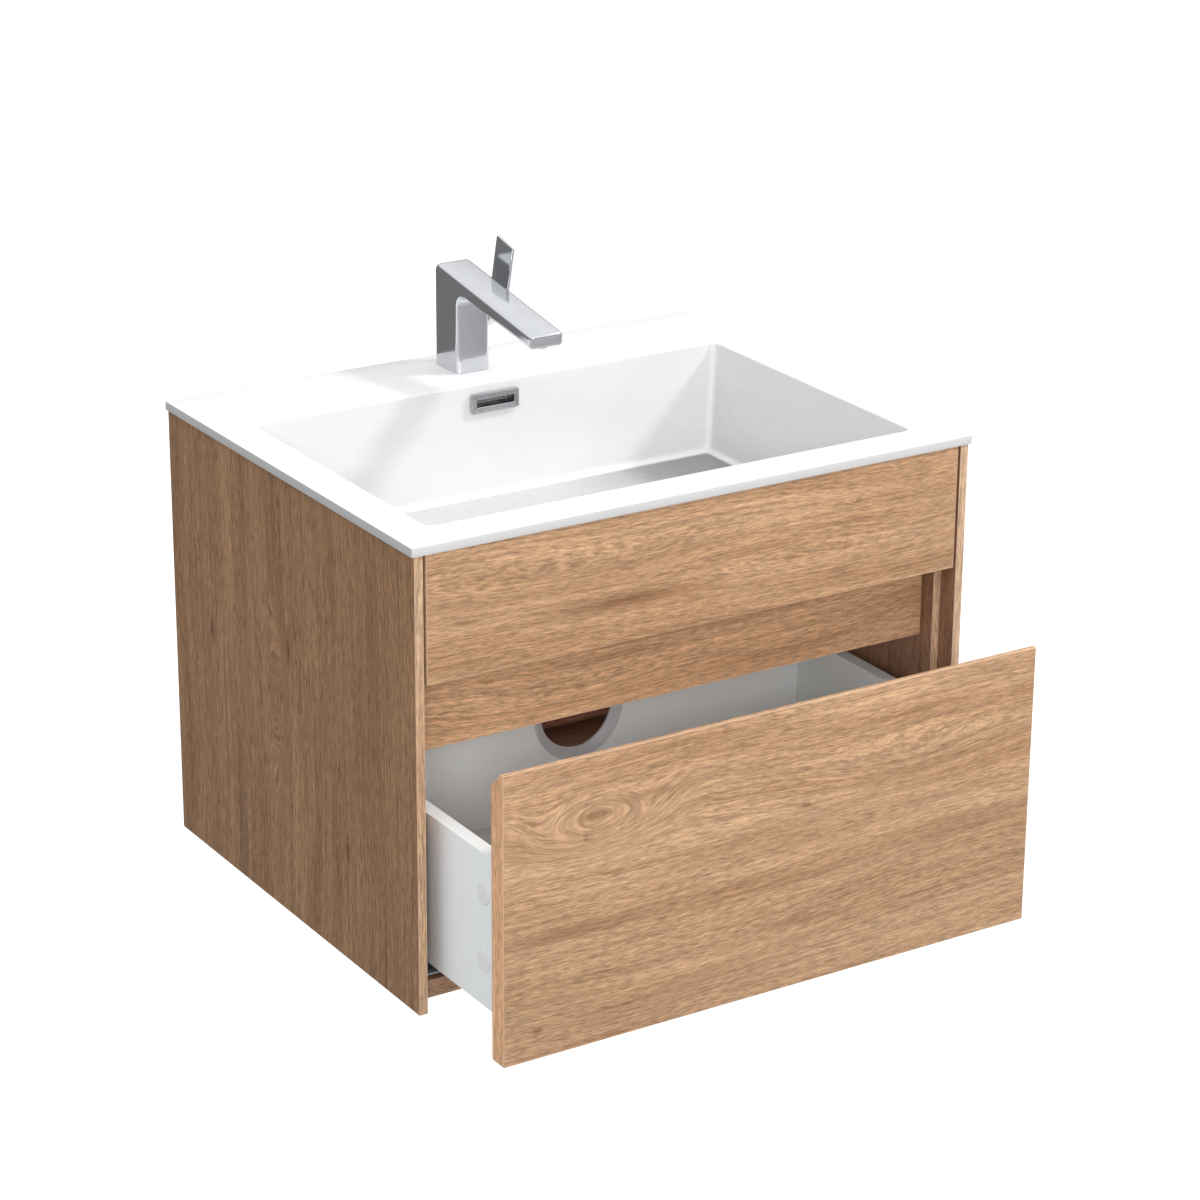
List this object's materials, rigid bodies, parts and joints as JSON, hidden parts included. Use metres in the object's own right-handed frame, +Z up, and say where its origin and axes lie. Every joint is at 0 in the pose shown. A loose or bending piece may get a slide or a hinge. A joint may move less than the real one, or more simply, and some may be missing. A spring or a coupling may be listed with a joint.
{
  "type": "wall-hung vanity with integral basin",
  "caption": "Wall-hung bathroom vanity with an integral rectangular basin top, a side-lever mixer tap, a fixed fascia and a pull-out drawer.",
  "frame": {"origin": "centre of the hanging rail's back face, on the wall, halfway across the cabinet", "axes": "+Y points into the wall, the drawer and the basin front face -Y, +X points to the right as seen from the front, +Z is up"},
  "size_m": [0.6, 0.6074, 0.5774],
  "materials": {
    "oak_front": "light natural oak laminate, grain running along the width",
    "oak_side": "light natural oak laminate, grain upright",
    "dark_oak": "dark walnut-brown laminate inside the carcass",
    "white_board": "matt white melamine-faced board",
    "solid_surface": "white moulded acrylic composite, satin gloss",
    "chrome": "polished chrome plate",
    "zinc_steel": "zinc-plated steel",
    "brass": "turned brass",
    "rubber": "black rubber",
    "white_plastic": "white moulded plastic",
    "grey_plastic": "dark grey moulded plastic"
  },
  "bodies": {
    "cabinet": {"recess_rail": "oak_front", "upper_fascia": "oak_front", "side_panel_left": "oak_side", "side_panel_right": "oak_side", "inner_cheek_left": "dark_oak", "inner_cheek_right": "dark_oak", "base_panel": "dark_oak", "lower_back_rail": "dark_oak", "hanging_rail": "dark_oak", "basin_top": "solid_surface", "overflow_trim": "chrome", "waste_body": "chrome", "waste_tailpiece": "chrome", "mixer_body": "chrome", "aerator": "chrome", "cartridge_collar": "chrome", "hanger_left": "zinc_steel", "hanger_right": "zinc_steel", "wall_plate_left": "zinc_steel", "wall_plate_right": "zinc_steel", "fascia_bracket_left": "zinc_steel", "fascia_bracket_right": "zinc_steel", "cabinet_rail_left": "zinc_steel", "cabinet_rail_right": "zinc_steel", "mounting_stud": "zinc_steel", "clamp_plate": "zinc_steel", "waste_locknut": "brass", "mounting_nut": "brass", "inlet_hot": "brass", "inlet_cold": "brass", "cartridge_nut": "brass", "waste_seal": "rubber", "mixer_gasket": "rubber", "clamp_gasket": "rubber", "overflow_duct": "white_plastic", "cartridge": "white_plastic", "stopper_guide": "grey_plastic"},
    "drawer": {"drawer_front": "oak_front", "drawer_side_left": "white_board", "drawer_side_right": "white_board", "drawer_floor": "white_board", "drawer_back": "white_board", "notch_trim": "white_plastic", "screw_cap_left_upper": "white_plastic", "screw_cap_left_lower": "white_plastic", "screw_cap_right_upper": "white_plastic", "screw_cap_right_lower": "white_plastic", "drawer_rail_left": "zinc_steel", "drawer_rail_right": "zinc_steel", "locking_clip_left": "grey_plastic", "locking_clip_right": "grey_plastic"},
    "middle_rails": {"middle_rail_left": "zinc_steel", "middle_rail_right": "zinc_steel"},
    "spindle": {"cartridge_spindle": "zinc_steel"},
    "lever": {"lever_handle": "chrome", "lever_grub_screw": "zinc_steel"},
    "stopper": {"waste_stopper": "chrome", "stopper_seal": "rubber"}
  },
  "joints": [
    {"name": "drawer_slide", "type": "slide", "parent": "cabinet", "child": "drawer", "axis": [0, -1, 0], "range_m": [-0.128, 0.172]},
    {"name": "middle_slide", "type": "slide", "parent": "cabinet", "child": "middle_rails", "axis": [0, -1, 0], "range_m": [-0.064, 0.086]},
    {"name": "lever_turn", "type": "hinge", "parent": "cabinet", "child": "spindle", "pos_m": [0.01, -0.057, 0.1207], "axis": [1, 0, 0], "range_deg": [-45, 45]},
    {"name": "lever_tilt", "type": "hinge", "parent": "spindle", "child": "lever", "pos_m": [0.026, -0.057, 0.1207], "axis": [0, 0.9744, 0.225], "range_deg": [0, 22]},
    {"name": "stopper_press", "type": "slide", "parent": "cabinet", "child": "stopper", "axis": [0, 0, 1], "range_m": [-0.006, 0]}
  ],
  "couplings": [
    {"joint": "middle_slide", "follows": "drawer_slide", "ratio": 0.5}
  ]
}
